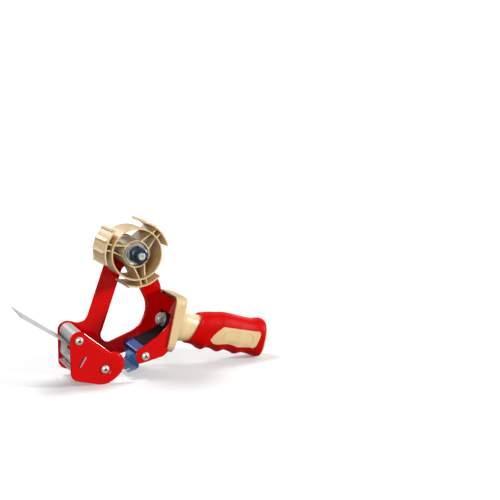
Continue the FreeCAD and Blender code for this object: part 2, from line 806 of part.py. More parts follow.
def hub():
    """The tape hub: inner tube, middle barrel and three leaves on paired spokes."""
    body = ring(HUB, BARREL_R, BARREL_R - BARREL_WALL, -22.5, 23.0)
    body = body.fuse(ring(HUB, TUBE_R, TUBE_R - TUBE_WALL, -19.0, 23.5))
    body = body.fuse(rod(HUB, TUBE_R - TUBE_WALL / 2, -9.0, -6.0))
    body = body.fuse(rod(HUB, BOSS_R, -9.0, 18.8))
    for centre in LEAF_CENTRES:
        body = body.fuse(leaf(centre))
        for side in (-1, 1):
            inner = spoke(centre + side * 25, TUBE_R - 0.6, centre + side * 6.5, BARREL_R - 0.7, -19.0, 22.0)
            outer = spoke(centre + side * 6.5, BARREL_R - 0.8, centre + side * 5.6, LEAF_R - 0.8, -21.0, 24.0)
            body = body.fuse(inner).fuse(outer)
    return body.cut(rod(HUB, BOLT_R + FIT, -30, 30)).removeSplitter()


def hub_bolt():
    """M8 bolt fixed in the big side plate; its domed head is outside."""
    bolt = rod(HUB, BOLT_R, BOLT_END, OUTER)
    dome = Part.makeSphere(9.4, v(HUB[0], OUTER + 6.0 - 9.4, HUB[1]))
    head = rod(HUB, 8.2, OUTER + 0.0, OUTER + 6.5).common(dome)
    dimple = rod(HUB, 1.7, BOLT_END - 1, BOLT_END + 1.4)
    return bolt.fuse(head).cut(dimple)


def hub_lock_nut():
    return hexagon(HUB, 13.0, 20.6, HALF_GAP).cut(rod(HUB, BOLT_R + FIT, 0, 40))


def brake_nut():
    """The nut that sets the drag: a tall hexagon with a round locking collar."""
    nut = hexagon(HUB, 18.2, -33.0, -21.2)
    nut = nut.fuse(rod(HUB, 6.0, -36.6, -32.0))
    return nut.cut(rod(HUB, BOLT_R + FIT, -50, 0))


PARTS = {
    "side_frame": side_frame(),
    "near_plate": near_plate(),
    "near_screws": screws(-1),
    "far_screws": screws(1),
    "roller_axle": bar(ROLLER),
    "lower_tie_bar": bar(LOWER_BAR),
    "rear_tie_bar": bar(REAR_BAR),
    "front_roller": front_roller(),
    "guard_spring": guard_spring(),
    "blade_bracket": blade_bracket(),
    "cutting_blade": cutting_blade(),
    "blade_rivets": blade_rivets(),
    "blade_guard": blade_guard(),
    "tape_flap": tape_flap(),
    "flap_clamp": flap_clamp(),
    "flap_rivets": flap_rivets(),
    "wiper_arm": wiper_arm(),
    "wiper_blade": wiper_blade(),
    "handle_stud": handle_stud(),
    "handle_nut": handle_nut(),
    "handle_washer": handle_washer(),
    "hub": hub(),
    "hub_bolt": hub_bolt(),
    "hub_lock_nut": hub_lock_nut(),
    "hub_spacer": ring(HUB, 7.2, BOLT_R + FIT, 19.0, 20.5),
    "brake_washer": ring(HUB, 13.6, BOLT_R + FIT, -10.6, -9.1),
    "brake_spring": coil(HUB, 8.3, 1.1, -19.3, -10.8, 2.5),
    "pressure_washer": ring(HUB, 10.8, BOLT_R + FIT, -21.0, -19.5),
    "brake_nut": brake_nut(),
}
PARTS["handle_core"] = handle_core()
PARTS["grip_sleeve"] = grip_sleeve(PARTS["handle_core"])

for name, shape in PARTS.items():
    shape.translate(MIDDLE * -1)
    shape.exportStep("parts/" + name + ".step")
    size = shape.BoundBox
    print(name, shape.isValid(), len(shape.Solids), round(size.XLength, 1), round(size.YLength, 1),
          round(size.ZLength, 1), "lowest", round(size.ZMin, 2))
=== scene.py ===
# %% [markdown]
# A hand-held packing-tape dispenser, dressed on top of its imported CAD model.
# The CAD bodies are the frame: they carry the motion and the sizes. Each visible piece here either is a CAD
# node with a better finish, or a new mesh that stands for a node and, but for the wiper's arm and the film,
# rides on the same body.
# Everything is in metres in the CAD frame: the cutting blade points to -X, the grip to +X, the open side of
# the tape hub faces -Y, and the table is Z = 0.

import math

import bmesh
import bpy
from mathutils import Matrix, Vector


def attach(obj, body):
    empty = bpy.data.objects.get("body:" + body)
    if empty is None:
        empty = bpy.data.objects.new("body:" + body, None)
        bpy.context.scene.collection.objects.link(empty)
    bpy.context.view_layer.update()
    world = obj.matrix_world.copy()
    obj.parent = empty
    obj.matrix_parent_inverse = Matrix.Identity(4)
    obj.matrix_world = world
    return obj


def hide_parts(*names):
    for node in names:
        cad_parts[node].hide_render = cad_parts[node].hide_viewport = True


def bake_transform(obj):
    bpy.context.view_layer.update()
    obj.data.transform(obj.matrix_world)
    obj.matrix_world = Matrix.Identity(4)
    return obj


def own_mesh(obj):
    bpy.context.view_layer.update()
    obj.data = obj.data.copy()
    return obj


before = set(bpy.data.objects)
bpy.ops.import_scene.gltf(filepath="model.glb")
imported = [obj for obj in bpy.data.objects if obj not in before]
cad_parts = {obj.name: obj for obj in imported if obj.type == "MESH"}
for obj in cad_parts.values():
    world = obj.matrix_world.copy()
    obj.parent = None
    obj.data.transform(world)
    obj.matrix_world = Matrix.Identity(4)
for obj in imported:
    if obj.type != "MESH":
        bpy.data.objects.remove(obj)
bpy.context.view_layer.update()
MM = 0.001
MIDDLE = (27.5, -2.25)          # the drawing's x and y of the middle of the object
print("nodes:", len(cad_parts))

# %% [markdown]
# The drawing gives every outline in millimetres before the object was centred. It is easiest to keep those
# numbers and to turn them into scene metres in one place.

# %% drawing to scene
def place(x, y, z):
    """A point of the drawing, in millimetres, as a scene point in metres."""
    return Vector(((x - MIDDLE[0]) * MM, (y - MIDDLE[1]) * MM, z * MM))


GRIP_ORIGIN = (49.3, 59.5)      # where the grip's axis leaves the rear web
GRIP_TILT = math.radians(13.0)  # the grip slopes down by this much


def on_grip(a, u, y=0.0):
    """A scene point given along the grip's axis, across it upwards, and sideways."""
    x = GRIP_ORIGIN[0] + a * math.cos(GRIP_TILT) + u * math.sin(GRIP_TILT)
    z = GRIP_ORIGIN[1] - a * math.sin(GRIP_TILT) + u * math.cos(GRIP_TILT)
    return place(x, y, z)


def drawn(point):
    """The drawing's (x, z) of a scene point."""
    return (point.x / MM + MIDDLE[0], point.z / MM)


HUB = (8.8, 144.0)
ROLLER = (-62.3, 53.4)
LOWER_BAR = (-33.7, 17.4)
REAR_BAR = (14.1, 26.5)
print("hub axis at", [round(c, 4) for c in place(HUB[0], 0, HUB[1])])

# %% [markdown]
# A finish is a small node tree. Writing it as sums and products of named values reads better than a list of
# links, so one class wraps a socket and turns Python's operators into Math nodes. A second one wraps the
# material itself: its node method adds any other node, settings first and then sockets. Feeding nodes by hand
# would look the same, but the sums would be lost in a list of links.

# %% values that do arithmetic
class Value:
    """A socket that adds Math nodes when it is used in arithmetic."""

    def __init__(self, finish, socket):
        self.finish = finish
        self.socket = socket

    def math(self, operation, first, second):
        return self.finish.node("ShaderNodeMath", {"operation": operation}, {0: first, 1: second})

    def __add__(self, other):
        return self.math("ADD", self, other)

    def __sub__(self, other):
        return self.math("SUBTRACT", self, other)

    def __mul__(self, other):
        return self.math("MULTIPLY", self, other)

    def __rsub__(self, other):
        return self.math("SUBTRACT", other, self)

    def __pow__(self, other):
        return self.math("POWER", self, other)

    __radd__ = __add__
    __rmul__ = __mul__


# %% a material and its nodes
class Finish:
    """A Principled material whose varying inputs are set from Value expressions."""

    def __init__(self, name, **constants):
        self.material = bpy.data.materials.new(name)
        self.material.use_nodes = True
        self.tree = self.material.node_tree
        self.shader = self.tree.nodes["Principled BSDF"]
        for key, value in constants.items():
            self.input(key).default_value = value
        self.where = self.node("ShaderNodeTexCoord", out="Object")

    def input(self, key):
        """The shader's socket for a name such as base_color or specular_ior_level."""
        return self.shader.inputs[key.replace("_", " ").title().replace("Ior", "IOR")]

    def node(self, kind, settings=None, sockets=None, out=0):
        """Add a node, with its settings and then its sockets, and return one of its outputs."""
        node = self.tree.nodes.new(kind)
        for key, value in (settings or {}).items():
            if key == "stops":
                self.set_stops(node.color_ramp, value)
            else:
                setattr(node, key, value)
        for key, value in (sockets or {}).items():
            if isinstance(value, Value):
                self.tree.links.new(value.socket, node.inputs[key])
            else:
                node.inputs[key].default_value = value
        return Value(self, node.outputs[out])

    def set_stops(self, ramp, stops):
        while len(ramp.elements) < len(stops):
            ramp.elements.new(1.0)
        for element, (position, colour) in zip(ramp.elements, stops):
            element.position = position
            element.color = (*colour, 1.0)

    def noise(self, size, detail=2.0, rough=0.5, stretch=(1, 1, 1), turn=(0, 0, 0)):
        """Noise whose blotches are about size metres across, from 0 to 1."""
        spot = self.where
        if stretch != (1, 1, 1) or turn != (0, 0, 0):
            spot = self.node("ShaderNodeMapping", {"vector_type": "TEXTURE"},
                             {"Vector": spot, "Rotation": turn, "Scale": stretch})
        return self.node("ShaderNodeTexNoise", None,
                         {"Vector": spot, "Scale": 1.0 / size, "Detail": detail, "Roughness": rough}, "Fac")

    def ramp(self, value, *stops):
        return self.node("ShaderNodeValToRGB", {"stops": stops}, {0: value})

    def clamp(self, value, low, high):
        """The value from low to high, spread over 0 to 1."""
        return self.node("ShaderNodeMapRange", {"clamp": True},
                         {"Value": value, "From Min": low, "From Max": high})

    def blend(self, share, first, second):
        """A mix of two colours."""
        pair = [colour if isinstance(colour, Value) else (*colour, 1.0) for colour in (first, second)]
        return self.node("ShaderNodeMix", {"data_type": "RGBA"}, {0: share, 6: pair[0], 7: pair[1]}, 2)

    def set(self, **values):
        """Feed the shader's sockets, by name, from Values."""
        for key, value in values.items():
            self.tree.links.new(value.socket, self.input(key))
        return self

    def bump(self, height, depth, strength=1.0):
        """Relief, with depth in metres for a height of 1."""
        sockets = {"Strength": strength, "Distance": depth, "Height": height}
        return self.set(normal=self.node("ShaderNodeBump", None, sockets, "Normal"))


print("shader helpers ready")

# %% [markdown]
# The frame is pressed steel with a thick, glossy, saturated red enamel. Baked enamel is never quite flat: it
# has a faint orange peel, and a few specks of dust. Both are bump, because their size is a fraction of a
# millimetre to two millimetres. The gloss is a coat over a matt red: a shiny base would mirror white too, and
# the red would turn pink. The colour drifts only slightly.

# %% red enamel
def enamel():
    red = Finish("red enamel", coat_weight=0.6, coat_roughness=0.04, specular_ior_level=0.0)
    drift = red.noise(0.045, 3.0)
    peel = red.noise(0.0016, 2.0)
    dust = red.clamp(red.noise(0.0021, 1.0), 0.74, 0.80)
    red.set(base_color=red.blend(drift, (0.47, 0.0004, 0.0003), (0.56, 0.0009, 0.0006)))
    red.set(roughness=0.17 + 0.12 * red.noise(0.012, 3.0))
    return red.bump(peel * 0.35 + dust, 0.00004)


red_enamel = enamel()
print("enamel nodes:", len(red_enamel.tree.nodes))

# %% [markdown]
# Metals. Plated parts differ in hue and in how blurred their reflection is: nickel is warm and bright, zinc
# is greyer and blotchy with crystals, and the brake nut is blue-black. The cross recesses of the screws get
# painted shade: a value named recess, kept on those vertices, blends the metal to near black there.

# %% plated and bare metals
# Near black for the screws' cross recesses: painted shade.
RECESS_SHADE = (0.01, 0.009, 0.008)


def metal(name, dark, light, rough, grain=0.0006, stretch=(1, 1, 1)):
    finish = Finish(name, metallic=0.8)
    blotch = finish.noise(0.006, 3.0)
    fine = finish.noise(grain, 2.0, 0.6, stretch)
    # Where recess is 1 the metal turns near black: painted shade in the screws' crosses.
    painted_shade = finish.node("ShaderNodeAttribute", {"attribute_name": "recess"}, None, "Fac")
    finish.set(base_color=finish.blend(painted_shade, finish.blend(blotch, dark, light), RECESS_SHADE))
    finish.set(roughness=rough - 0.06 + 0.12 * fine + 0.05 * blotch)
    return finish.bump(fine, 0.000008)


nickel = metal("nickel plate", (0.62, 0.56, 0.48), (0.86, 0.80, 0.72), 0.22)
zinc = metal("zinc plate", (0.50, 0.50, 0.46), (0.74, 0.74, 0.70), 0.34)
spring = metal("spring steel", (0.30, 0.30, 0.31), (0.46, 0.46, 0.47), 0.34)
blade_steel = metal("hardened blade steel", (0.58, 0.58, 0.60), (0.76, 0.77, 0.79), 0.26, stretch=(1, 12, 1))
dark_nut = metal("blue-black nut", (0.025, 0.04, 0.055), (0.08, 0.12, 0.16), 0.3)
print("metals:", ", ".join(m.material.name for m in (nickel, zinc, spring, blade_steel, dark_nut)))

# %% [markdown]
# The wiper is blued by heat. Its colour runs from navy at the fold through bright blue to the matt grey-blue
# of the lip: partly the oxide film, thicker down the strip, and partly painted reflection, the near-black
# navy of the fold for the dark room it mirrors and the bright blue of the face for the white table it
# mirrors.
# Height above the table gives that run, and streaks drawn down the face break it up as rolling marks do. The
# lip is rougher and less metallic.

# %% heat-blued steel
LIP_HEIGHT, FOLD_HEIGHT = 0.008, 0.036


def blue_and_painted_reflection():
    blue = Finish("blued spring steel", specular_ior_level=0.15)
    height = blue.node("ShaderNodeSeparateXYZ", None, {0: blue.where}, "Z")
    streak = blue.noise(0.004, 2.0, 0.5, (1, 1, 9))
    run = blue.clamp(height + 0.006 * (streak - 0.5), LIP_HEIGHT, FOLD_HEIGHT)
    # The dark navy near the fold and the bright blue of the face are partly painted reflection.
    colour = blue.ramp(run, (0.0, (0.16, 0.25, 0.32)), (0.12, (0.13, 0.23, 0.32)), (0.20, (0.05, 0.10, 0.32)),
                       (0.27, (0.01, 0.24, 0.68)), (0.50, (0.02, 0.52, 0.95)), (0.68, (0.008, 0.18, 0.6)),
                       (0.84, (0.004, 0.02, 0.13)), (1.0, (0.01, 0.08, 0.34)))
    polish = blue.clamp(run, 0.08, 0.3)
    blue.set(base_color=colour, metallic=0.15 + 0.5 * polish, roughness=0.5 - 0.32 * polish + 0.1 * streak)
    return blue.bump(streak, 0.00001)


blued = blue_and_painted_reflection()
print("blued run from", LIP_HEIGHT, "to", FOLD_HEIGHT, "m above the table")

# %% [markdown]
# Plastics. The hub and the grip's core are moulded in the same cream-tan, with a fine moulded skin that lets
# a little light in under it. The sleeve is a softer red with a matt grain. The front roller and the guard are
# plain satin greys. The wiper's arm is phosphated steel, but its dull black coat looks like a plastic's, so
# the same recipe serves.

# %% plastics and paints
def plastic(name, dark, light, rough, grain=0.0004, depth=0.00001, **constants):
    """A drift between two colours, under a fine grain of the given size and depth in metres."""
    finish = Finish(name, **constants)
    drift = finish.noise(0.025, 3.0)
    fine = finish.noise(grain, 3.0, 0.6)
    finish.set(base_color=finish.blend(drift, dark, light))
    finish.set(roughness=rough - 0.05 + 0.1 * fine)
    return finish.bump(fine, depth)


tan = plastic("tan plastic", (0.56, 0.415, 0.225), (0.62, 0.475, 0.275), 0.36, subsurface_weight=0.2,
              subsurface_scale=0.003)
rubber = plastic("red rubber", (0.40, 0.0006, 0.0004), (0.48, 0.0012, 0.0008), 0.45, 0.0005,
                 0.00004, specular_ior_level=0.12)
roller_grey = plastic("roller grey", (0.30, 0.30, 0.295), (0.35, 0.35, 0.345), 0.34)
guard_grey = plastic("guard grey", (0.50, 0.50, 0.49), (0.58, 0.58, 0.57), 0.3)
black_spring = plastic("phosphated spring", (0.005, 0.005, 0.006), (0.011, 0.011, 0.013), 0.55,
                       specular_ior_level=0.06)
pale_washer = plastic("pale washer", (0.74, 0.75, 0.66), (0.82, 0.83, 0.76), 0.4)
print("subsurface of the tan:", round(tan.input("subsurface_weight").default_value, 3))

# %% [markdown]
# The flap is a milky clear film. It lets about a quarter of the light through, which is its Alpha here, and
# it is scuffed along its length where the tape has run over it. Its worn free edge is darker.

# %% clear film
WORN_FROM, WORN_TO = -0.1488, -0.1512       # x of the film's worn free edge


def milky_film():
    film = Finish("clear film", ior=1.5)
    scuff = film.noise(0.004, 3.0, 0.6, (5, 1, 5))
    free_edge = film.clamp(film.node("ShaderNodeSeparateXYZ", None, {0: film.where}, "X"), WORN_FROM, WORN_TO)
    milky = film.blend(scuff, (0.40, 0.40, 0.395), (0.50, 0.50, 0.495))
    film.set(base_color=film.blend(free_edge, milky, (0.16, 0.16, 0.16)))
    film.set(alpha=0.66 + 0.2 * scuff + 0.14 * free_edge, roughness=0.25 + 0.2 * scuff)
    return film.bump(scuff, 0.00001)


film_finish = milky_film()
FINISHES = {
    "red_enamel": red_enamel, "nickel": nickel, "zinc_steel": zinc, "roller_grey": roller_grey,
    "spring_steel": spring, "blade_steel": blade_steel, "guard_grey": guard_grey, "clear_film": film_finish,
    "black_spring": black_spring, "blued_steel": blued, "tan_plastic": tan, "red_rubber": rubber,
    "white_washer": pale_washer, "blue_black_nut": dark_nut,
}
print("finishes:", len(FINISHES))

# %% [markdown]
# Each new piece ends the same way: the bmesh becomes an object at the origin, smooth except at sharp edges,
# with weighted normals so that flat faces stay flat next to their rounded edges. It rides on a body, stands
# for its CAD nodes, and takes a slot's finish.

# %% from bmesh to piece
def piece(name, bm, slot, body, *nodes, sharp=50.0, weighted=True):
    """Write a bmesh out as an object that rides on a body, or on none yet, and stands for CAD nodes."""
    bmesh.ops.remove_doubles(bm, verts=bm.verts, dist=1e-6)
    mesh = bpy.data.meshes.new(name)
    for face in bm.faces:
        face.smooth = True
    for edge in bm.edges:
        edge.smooth = not (edge.is_manifold and edge.calc_face_angle(0) > math.radians(sharp))
    bm.to_mesh(mesh)
    bm.free()
    mesh.materials.append(FINISHES[slot].material)
    thing = bpy.data.objects.new(name, mesh)
    bpy.context.scene.collection.objects.link(thing)
    if weighted:
        thing.modifiers.new("flat faces stay flat", "WEIGHTED_NORMAL").keep_sharp = True
    if body:
        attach(thing, body)
    if nodes:
        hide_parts(*nodes)
    print(name, "faces:", len(mesh.polygons))
    return thing


# %% [markdown]
# Sheet metal and moulded parts whose shape the CAD already has only lack broken edges. A copy of the CAD
# mesh is merged, its flat triangles are joined, and its sharp edges are bevelled: a real edge has a radius,
# and that radius is what catches the light.

# %% soften a CAD part
RECESS_REACH = 2.7 * MM         # no part of a cross is farther than this from its screw's axis
RECESS_FLOOR = 0.8 * MM         # what lies this deep below the top of the head is the floor of a cross
HEAD_HEIGHT = 4.0 * MM


def shaded_recess(bm):
    """Mark the walls and floors of the cross recesses, which get painted shade."""
    layer = bm.verts.layers.float.new("recess")
    for spot in (ROLLER, LOWER_BAR, REAR_BAR):
        centre = place(spot[0], 0, spot[1])
        for side in (-1, 1):
            heights = {}
            for face in bm.faces:
                away = face.calc_center_median() - centre
                if away.y * side > 0 and math.hypot(away.x, away.z) < RECESS_REACH:
                    heights[face] = away.y * side
            if not heights:
                continue
            top = max((v.co.y - centre.y) * side for f in heights for v in f.verts)
            for face, height in heights.items():
                sunk = top - height
                if sunk < HEAD_HEIGHT and (abs(face.normal.y) < 0.55 or sunk > RECESS_FLOOR):
                    for vert in face.verts:
                        vert[layer] = 1.0
    return bm


def softened(node, width, sharp=32.0, flat=0.6):
    """A bmesh copy of a CAD node, with edges sharper than an angle in degrees rounded by width in metres."""
    bm = bmesh.new()
    bm.from_mesh(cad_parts[node].data)
    bmesh.ops.remove_doubles(bm, verts=bm.verts, dist=2e-6)
    bmesh.ops.dissolve_limit(bm, angle_limit=math.radians(flat), verts=bm.verts, edges=bm.edges)
    corners = [e for e in bm.edges if e.is_manifold and e.calc_face_angle(0) > math.radians(sharp)]
    bmesh.ops.bevel(bm, geom=corners, offset=width, offset_type="OFFSET", affect="EDGES", segments=2,
                    profile=0.5, clamp_overlap=True, material=-1)
    return bm


print("cross recesses are looked for within", RECESS_REACH, "m of each screw's axis")

# %% [markdown]
# Outlines are drawn as in the drawing: a start, then points for straight runs, and pairs for arcs, the first
# a point on the way. A vertex spun about the arc's centre leaves the arc's edges behind it.

# %% draw an outline
DEGREES_A_STEP = 9


def arc(bm, here, through, end):
    """Spin a vertex through a point to an end, and return its last copy."""
    first = here.co.copy()
    one, two = through - first, end - first
    normal = one.cross(two)
    centre = first + (normal.cross(one) * two.length_squared + two.cross(normal) * one.length_squared) / (
        2 * normal.length_squared)
    turn = (first - centre).angle(through - centre) + (through - centre).angle(end - centre)
    made = bmesh.ops.spin(bm, geom=[here], cent=centre, axis=normal.normalized(), angle=turn,
                          steps=max(3, round(math.degrees(turn) / DEGREES_A_STEP)), use_duplicate=False)
    return [g for g in made["geom_last"] if isinstance(g, bmesh.types.BMVert)][0]


def draw(bm, y, start, *steps):
    """Draw a closed outline at one depth of the drawing."""
    first = here = bm.verts.new(place(start[0], y, start[1]))
    for step in steps:
        if isinstance(step[0], tuple):
            here = arc(bm, here, place(step[0][0], y, step[0][1]), place(step[1][0], y, step[1][1]))
        else:
            there = bm.verts.new(place(step[0], y, step[1]))
            bm.edges.new((here, there))
            here = there
    if (here.co - first.co).length > 1e-6:
        bm.edges.new((here, first))
    bmesh.ops.remove_doubles(bm, verts=bm.verts, dist=1e-6)


print("an arc gets a vertex every", DEGREES_A_STEP, "degrees")

# %% [markdown]
# A pressed plate is a flat skin first: the outline and its openings are filled, and the skin is inset a few
# times so that rings of faces follow every edge. Moving the outer rings back along a circle rolls the edge,
# as the press does. A bevel could only round the sheet's own thin rim. Thickness comes last.

# %% press a plate
def rings_of(bm, faces, step, count):
    """Inset faces count times and return how far each vertex is from the edge."""
    distance = {}
    for ring in range(count):
        known = set(bm.verts)
        bmesh.ops.inset_region(bm, faces=faces, thickness=step, use_even_offset=True, use_boundary=True)
        for vert in set(bm.verts) - known:
            distance[vert] = ring * step
        for vert in {v for f in faces for v in f.verts}:
            distance[vert] = (ring + 1) * step
    return distance


def plate_skin(bm, facing, reach):
    """Fill the loose outlines with one flat skin, ringed as far as reach from its edges."""
    loose = [e for e in bm.edges if not e.link_faces]
    made = bmesh.ops.triangle_fill(bm, use_beauty=True, edges=loose, normal=facing)["geom"]
    return rings_of(bm, [f for f in made if isinstance(f, bmesh.types.BMFace)], reach / 6, 6)


def roll_edge(verts, distance, reach, share, tightness=1.5):
    """Move the skin back along a circle near its edges; share says how much of it a place gets."""
    radius = tightness * reach
    for vert in verts:
        run = reach - distance.get(vert, 0.0)
        if run > 0:
            vert.co.y += (radius - math.sqrt(radius ** 2 - run ** 2)) * share(vert.co)


def between(value, low, high):
    """0 below low, 1 above high, and smooth in between."""
    t = min(max((value - low) / (high - low), 0.0), 1.0)
    return t * t * (3 - 2 * t)


def thicken(thing, thickness, edge=0.3 * MM, even=True, limit=40.0):
    """Solidify away from the normals, then break the rim's edges."""
    wall = thing.modifiers.new("sheet", "SOLIDIFY")
    wall.thickness = thickness
    wall.offset = -1
    wall.use_even_offset = even
    rim = thing.modifiers.new("broken edges", "BEVEL")
    rim.width = edge
    rim.segments = 2
    rim.limit_method = "ANGLE"
    rim.angle_limit = math.radians(limit)
    thing.modifiers.new("flat faces stay flat", "WEIGHTED_NORMAL").keep_sharp = True
    return thing


SHEET = 1.5 * MM
NEAR_SKIN, INNER_SKIN = -28.5, 27.0     # the drawing's y of the near plate's face, and of the frame's inside
FRONT_FOOT = (((-36.2, 0.0), (-41.0, 0.386)), (-65.5, 7.3), ((-70.9, 11.0), (-73.0, 17.5)), (-72.7, 53.4))
print("plates are", SHEET, "thick")

# %% [markdown]
# The small near plate. Its upper rear edge and its rear corner are rolled inwards, so they catch a bright
# streak, and a shallow round dimple is pressed around the lower screw. The slot lets the blade bracket's tab
# through. The rings would run into the dimple, so they are made on the bare outline first. Then the middle
# is taken out and filled again with the slot and the dimple's circle in it, and rings press the circle in.

# %% near plate
def slot_corners(length=13.6, width=1.7):
    slope = math.radians(57.8)
    along, across = (math.cos(slope), math.sin(slope)), (-math.sin(slope), math.cos(slope))
    return [(-58.9 + i * along[0] * length / 2 + j * across[0] * width / 2,
             29.2 + i * along[1] * length / 2 + j * across[1] * width / 2)
            for i, j in ((-1, -1), (1, -1), (1, 1), (-1, 1))]


DIMPLE = ((8.6, 0.0), (7.7, 0.45), (7.0, 0.8), (6.2, 0.9))      # radius and depth of each ring


def refilled(bm, distance, reach):
    """Fill the plate's middle again, with its slot and the dimple's circle; returns the circle's edges."""
    def deep(verts):
        return all(distance.get(v, 0.0) > 0.99 * reach for v in verts)

    bmesh.ops.delete(bm, geom=[f for f in bm.faces if deep(f.verts)], context="FACES")
    border = [e for e in bm.edges if e.is_boundary and deep(e.verts)]
    before = set(bm.verts)
    corners = slot_corners()
    draw(bm, NEAR_SKIN, corners[0], *corners[1:])
    spot = Matrix.Translation(place(LOWER_BAR[0], NEAR_SKIN, LOWER_BAR[1]))
    circle = bmesh.ops.create_circle(bm, segments=40, radius=DIMPLE[0][0] * MM,
                                     matrix=spot @ Matrix.Rotation(math.radians(90), 4, "X"))["verts"]
    ring = list({e for v in circle for e in v.link_edges})
    loose = [e for e in bm.edges if not e.link_faces]
    bmesh.ops.triangle_fill(bm, use_beauty=True, edges=border + loose, normal=(0, -1, 0))
    for vert in set(bm.verts) - before:
        distance[vert] = reach
    return ring


def near_plate():
    bm = bmesh.new()
    draw(bm, NEAR_SKIN, (-72.7, 53.4), ((-69.65, 60.75), (-55.5, 61.3)), (-26.3, 36.0), (-21.8, 36.0),
         ((-14.2, 31.6), (-10.6, 22.5)), (-10.8, 16.8), ((-19.7, 6.9), (-31.5, 0.37)), *FRONT_FOOT)
    reach = 5.0 * MM
    distance = plate_skin(bm, (0, -1, 0), reach)
    ring = refilled(bm, distance, reach)
    middle = place(LOWER_BAR[0], NEAR_SKIN, LOWER_BAR[1])
    x_start, x_full = place(-50, 0, 0).x, place(-42, 0, 0).x
    z_start, z_full = place(0, 0, 10).z, place(0, 0, 17).z
    roll_edge(bm.verts, distance, reach,
              lambda c: between(c.x, x_start, x_full) * between(c.z, z_start, z_full), 1.15)
    for radius, depth in DIMPLE[1:]:
        made = bmesh.ops.extrude_edge_only(bm, edges=ring)["geom"]
        ring = [g for g in made if isinstance(g, bmesh.types.BMEdge)]
        for vert in [g for g in made if isinstance(g, bmesh.types.BMVert)]:
            out = vert.co - middle
            out.y = 0
            vert.co = middle + out.normalized() * radius * MM + Vector((0, depth * MM, 0))
    bmesh.ops.contextual_create(bm, geom=ring)
    bmesh.ops.recalc_face_normals(bm, faces=bm.faces)
    if sum(f.normal.y * f.calc_area() for f in bm.faces) > 0:
        bmesh.ops.reverse_faces(bm, faces=bm.faces)
    return bm


thicken(piece("near-plate", near_plate(), "red_enamel", "frame", "near_plate", weighted=False), SHEET)

# %% [markdown]
# The big far plate, the web behind it and the near flange are one folded pressing. Its inner skin is drawn
# in one go: plate, web and flange share their fold lines, the folds are rounded, the border of the window is
# rolled outwards, and the sheet's thickness is added outside.

# %% side frame
WINDOW_ROLL, FLANGE_ROLL = 3.6 * MM, 2.0 * MM
WINDOW_BORDER = 4.9 * MM        # vertices within this of the window's outline are its rolled border
WEB_TOP, WEB_LOW, FLANGE_TOP = [on_grip(-1.5, u) for u in (27.7, -24.0, 14.5)]


def side_frame():
    bm = bmesh.new()
    draw(bm, INNER_SKIN, (-72.7, 53.4), ((-69.65, 60.75), (-59.1, 63.3)), (-54.0, 61.7),
         ((-44.1, 61.1), (-36.9, 68.0)), (-7.1, 149.8), ((8.8, 161.0), (23.7, 152.2)), (51.5, 101.4),
         ((53.8, 94.2), drawn(WEB_TOP)), drawn(WEB_LOW), ((39.9, 27.4), (33.5, 23.6)), (8.2, 18.6),
         (-10.8, 14.6), ((-19.5, 6.3), (-31.5, 0.37)), *FRONT_FOOT)
    draw(bm, INNER_SKIN, (-20.3, 47.2), (5.8, 118.6), ((10.5, 121.8), (15.1, 118.8)), (30.9, 85.5),
         ((33.9, 73.0), (30.0, 58.4)), ((24.6, 49.4), (16.6, 43.6)), (-12.5, 33.2),
         ((-19.6, 36.4), (-20.3, 47.2)))
    distance = plate_skin(bm, (0, -1, 0), WINDOW_ROLL)
    roll_edge([v for v in bm.verts if near_window(v.co)], distance, WINDOW_ROLL, lambda c: 0.8)
    already = set(bm.verts)
    draw(bm, -INNER_SKIN, (3.8, 31.0), ((5.4, 35.0), (9.6, 36.3)), (28.8, 47.8),
         ((42.6, 60.6), drawn(FLANGE_TOP)), drawn(WEB_LOW), ((39.9, 27.4), (33.5, 23.6)), (8.4, 18.9),
         ((4.9, 20.4), (3.5, 24.5)))
    distance = plate_skin(bm, (0, 1, 0), FLANGE_ROLL)
    full, gone = place(12, 0, 0).x, place(22, 0, 0).x
    roll_edge(set(bm.verts) - already, distance, FLANGE_ROLL, lambda c: 0.7 * (1 - between(c.x, full, gone)))

    def at(point, y):
        spot = Vector((point.x, place(0, y, 0).y, point.z))
        return min(bm.verts, key=lambda v: (v.co - spot).length)

    corner = bm.verts.new((WEB_TOP.x, place(0, -INNER_SKIN, 0).y, WEB_TOP.z))
    bm.faces.new([at(WEB_TOP, INNER_SKIN), at(WEB_LOW, INNER_SKIN), at(WEB_LOW, -INNER_SKIN),
                  at(FLANGE_TOP, -INNER_SKIN), corner])
    bmesh.ops.recalc_face_normals(bm, faces=bm.faces)
    far = max(bm.faces, key=lambda f: f.calc_center_median().y)
    if far.normal.y > 0:
        bmesh.ops.reverse_faces(bm, faces=bm.faces)
    folds = [e for e in bm.edges if e.is_manifold and e.calc_face_angle(0) > math.radians(70)]
    bmesh.ops.bevel(bm, geom=folds, offset=1.2 * MM, offset_type="OFFSET", affect="EDGES", segments=4,
                    profile=0.5, clamp_overlap=True, material=-1)
    return bm


WINDOW = ((-20.3, 47.2), (-17, 60), (-8, 83), (5.8, 118.6), (10.5, 121.8), (15.1, 118.8), (24, 100),
          (30.9, 85.5), (33.9, 73.0), (30.0, 58.4), (24.6, 49.4), (16.6, 43.6), (2, 38.4), (-12.5, 33.2),
          (-19.6, 36.4))


def near_window(spot):
    """Whether a point of the far plate lies within the rolled border of its window."""
    corners = [place(x, 0, z) for x, z in WINDOW]
    best = 1.0
    for one, two in zip(corners, corners[1:] + corners[:1]):
        run = Vector((two.x - one.x, 0, two.z - one.z))
        gap = Vector((spot.x - one.x, 0, spot.z - one.z))
        t = min(max(gap.dot(run) / run.length_squared, 0), 1)
        best = min(best, (gap - run * t).length)
    return best < WINDOW_BORDER


thicken(piece("side-frame", side_frame(), "red_enamel", "frame", "side_frame", weighted=False), SHEET)

# %% [markdown]
# The wiper's arm, the wiper and the film are strips: a line, drawn out sideways, trimmed and given thickness.
# A bend is a corner of the line with its vertex bevelled, which leaves an arc. A curve with an extrude depth
# would do the same, but its width couldn't change along it.

